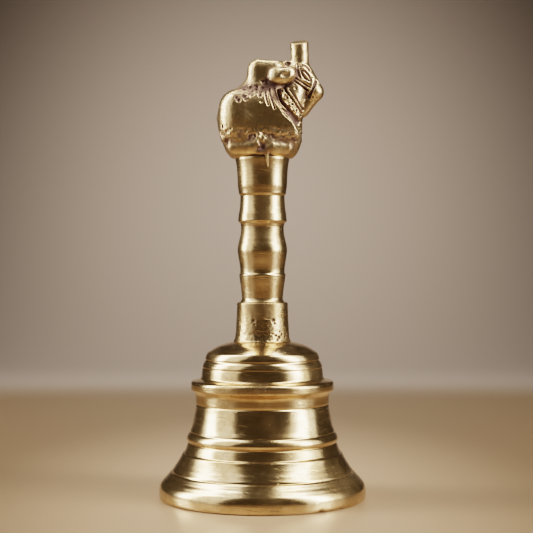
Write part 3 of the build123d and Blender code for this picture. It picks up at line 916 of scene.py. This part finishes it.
def bobOutline():
    c = clapper
    middle = bobFoot + c["ball"] - 0.7
    top, bore = bobHigh.z / mm, c["rod"] + 0.06
    line = [(bore, bobFoot + 1.0), (c["peen"] + 0.1, bobFoot)]
    low = math.acos((middle - bobFoot) / c["ball"])
    high = math.pi - math.asin(c["neck"] / c["ball"])
    for i in range(49):
        a = low + (high - low) * i / 48
        shrink = sum(0.09 * math.exp(-((a - scored) / 0.035) ** 2) for scored in c["scored"])
        line.append(((c["ball"] - shrink) * math.sin(a), middle - (c["ball"] - shrink) * math.cos(a)))
    line += [(c["neck"], top - 0.3), (c["neck"] - 0.3, top), (bore, top), (bore, bobFoot + 1.0)]
    return eased(flowing((line, 0.14)), 1)


bobMarks = (
    (90, 6.8, 9.4, 1.3, 0.10), (96, 6.7, 10.4, 0.9, 0.10), (-90, 6.8, 9.7, 1.4, 0.12),
    (-84, 6.7, 8.6, 0.8, 0.10))
bobPiece = turned("bob", bobOutline(), turnedBrass, bobMarks, Turns=144, Wobble=0.10 * mm)
handOver(bobPiece, "clapper", "clapper_bob")

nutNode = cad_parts["lock_nut"]
nutNode.data.materials.clear()
nutNode.data.materials.append(boltSteel)


studio = {
    "wall": 1.1, "front": -0.62, "side": 0.6, "cove": 0.55, "rise": 2.2,
    "eye": (0.00135, -0.435, 0.076), "lens": 89.0, "exposure": 0.35,
    # each: away from the bell, then beside it; the pale colour beside the bell is painted light: a painted
    # pool of light on the table, and a painted bright patch on the backdrop that turns to painted shade
    # towards its edges
    "table": ((0.21, 0.142, 0.083), (0.46, 0.335, 0.225)),
    "backdrop": ((0.055, 0.041, 0.032), (0.56, 0.47, 0.41)),
    "dimRoom": ((0.075, 0.058, 0.034), 0.6), "paleWall": ((0.34, 0.275, 0.215), 1.0),
    # name: place, aim, size and power
    "lights": {
        "leftBox": ((-0.50, -0.16, 0.62), (0.0, -0.16, 0.50), (0.78, 1.2), 2.5),
        "leftStrip": ((-0.46, 0.02, 0.58), (0.0, 0.0, 0.42), (0.20, 1.1), 3.6),
        "rightBox": ((0.50, -0.23, 0.62), (0.0, -0.23, 0.50), (0.60, 1.2), 2.6),
        "rightStrip": ((0.44, -0.22, 0.58), (0.0, -0.2, 0.42), (0.20, 1.1), 3.8),
        "wallBox": ((0.0, 0.45, 1.5), (0.0, 1.1, 0.3), (0.8, 0.4), 6.0),
    },
}


def sweep():
    # one sheet: the table, then a long rise into the backdrop
    steps, radius, back = 24, studio["cove"], studio["wall"]
    line = [(studio["front"], 0.0), (0.3, 0.0)]
    for i in range(steps + 1):
        a = math.pi / 2 * i / steps
        line.append((back - radius + radius * math.sin(a), radius - radius * math.cos(a)))
    line.append((back, studio["rise"]))
    verts = [(side * studio["side"], y, z) for y, z in line for side in (-1, 1)]
    faces = [(2 * i, 2 * i + 1, 2 * i + 3, 2 * i + 2) for i in range(len(line) - 1)]
    mesh = bpy.data.meshes.new("sweep")
    mesh.from_pydata(verts, [], faces)
    mesh.shade_smooth()
    piece = bpy.data.objects.new("sweep", mesh)
    bpy.context.scene.collection.objects.link(piece)
    material = bpy.data.materials.new("paleSweep")
    material.use_nodes = True
    bench = Bench(material.node_tree)
    shader = material.node_tree.nodes["Principled BSDF"]
    place = bench.node("ShaderNodeTexCoord")["Object"]
    x, y, z = place.parts()
    onWall = y.fade(0.30, 0.46)
    paper = bench.noise(place, 3.0, 2.0) * 0.05 + bench.noise(place, 420.0, 2.0) * 0.02
    # painted light: the backdrop is painted bright behind the bell and painted into shade towards its edges
    paintedWallLight = 1 - bench.vectorMath("LENGTH", bench.vector(x, 0.0, z - 0.17)).fade(0.0, 0.47)
    # painted light: a painted pool of light on the table round the bell, darker away from it
    paintedTableLight = 1 - bench.vectorMath("LENGTH", bench.vector(x, y * 0.45, 0.0)).fade(0.02, 0.12)
    tableTint = bench.blended(paintedTableLight, *((*colour, 1.0) for colour in studio["table"]))
    wallTint = bench.blended(paintedWallLight, *((*colour, 1.0) for colour in studio["backdrop"]))
    rough = 0.30 + onWall * 0.6 + paper
    bench.feed(shader, {"Base Color": bench.blended(onWall, tableTint, wallTint), "Roughness": rough})
    mesh.materials.append(material)


def softbox(name, place, aim, size, power):
    light = bpy.data.lights.new(name, "AREA")
    light.shape, light.size, light.size_y = "RECTANGLE", size[0], size[1]
    light.energy, light.color = power, (1.0, 0.95, 0.88)
    holder = bpy.data.objects.new(name, light)
    holder.location = place
    toward = Vector(np.array(aim) - np.array(place))
    holder.rotation_euler = toward.to_track_quat("-Z", "Y").to_euler()
    bpy.context.scene.collection.objects.link(holder)


sweep()
for name, setting in studio["lights"].items():
    softbox(name, *setting)

world = bpy.data.worlds.new("studio")
world.use_nodes = True
air = Bench(world.node_tree)
# dim room for the reflections, pale wall where the sheet ends
rooms = [air.node("ShaderNodeBackground", {}, {"Color": (*colour, 1.0), "Strength": strength})["Background"]
         for colour, strength in (studio["dimRoom"], studio["paleWall"])]
seen = air.node("ShaderNodeLightPath")["Is Camera Ray"]
both = air.node("ShaderNodeMixShader", {}, {0: seen, 1: rooms[0], 2: rooms[1]})["Shader"]
air.tree.links.new(both.socket, world.node_tree.nodes["World Output"].inputs["Surface"])
bpy.context.scene.world = world
film = bpy.context.scene.view_settings
film.view_transform, film.look, film.exposure = "Filmic", "High Contrast", studio["exposure"]

lens = bpy.data.cameras.new("camera")
lens.lens, lens.sensor_width, lens.sensor_fit = studio["lens"], 36.0, "HORIZONTAL"
lens.clip_start, lens.clip_end = 0.01, 20.0
camera = bpy.data.objects.new("camera", lens)
camera.location = studio["eye"]
camera.rotation_euler = (math.radians(90), 0.0, 0.0)
bpy.context.scene.collection.objects.link(camera)
bpy.context.scene.camera = camera
print("studio set")
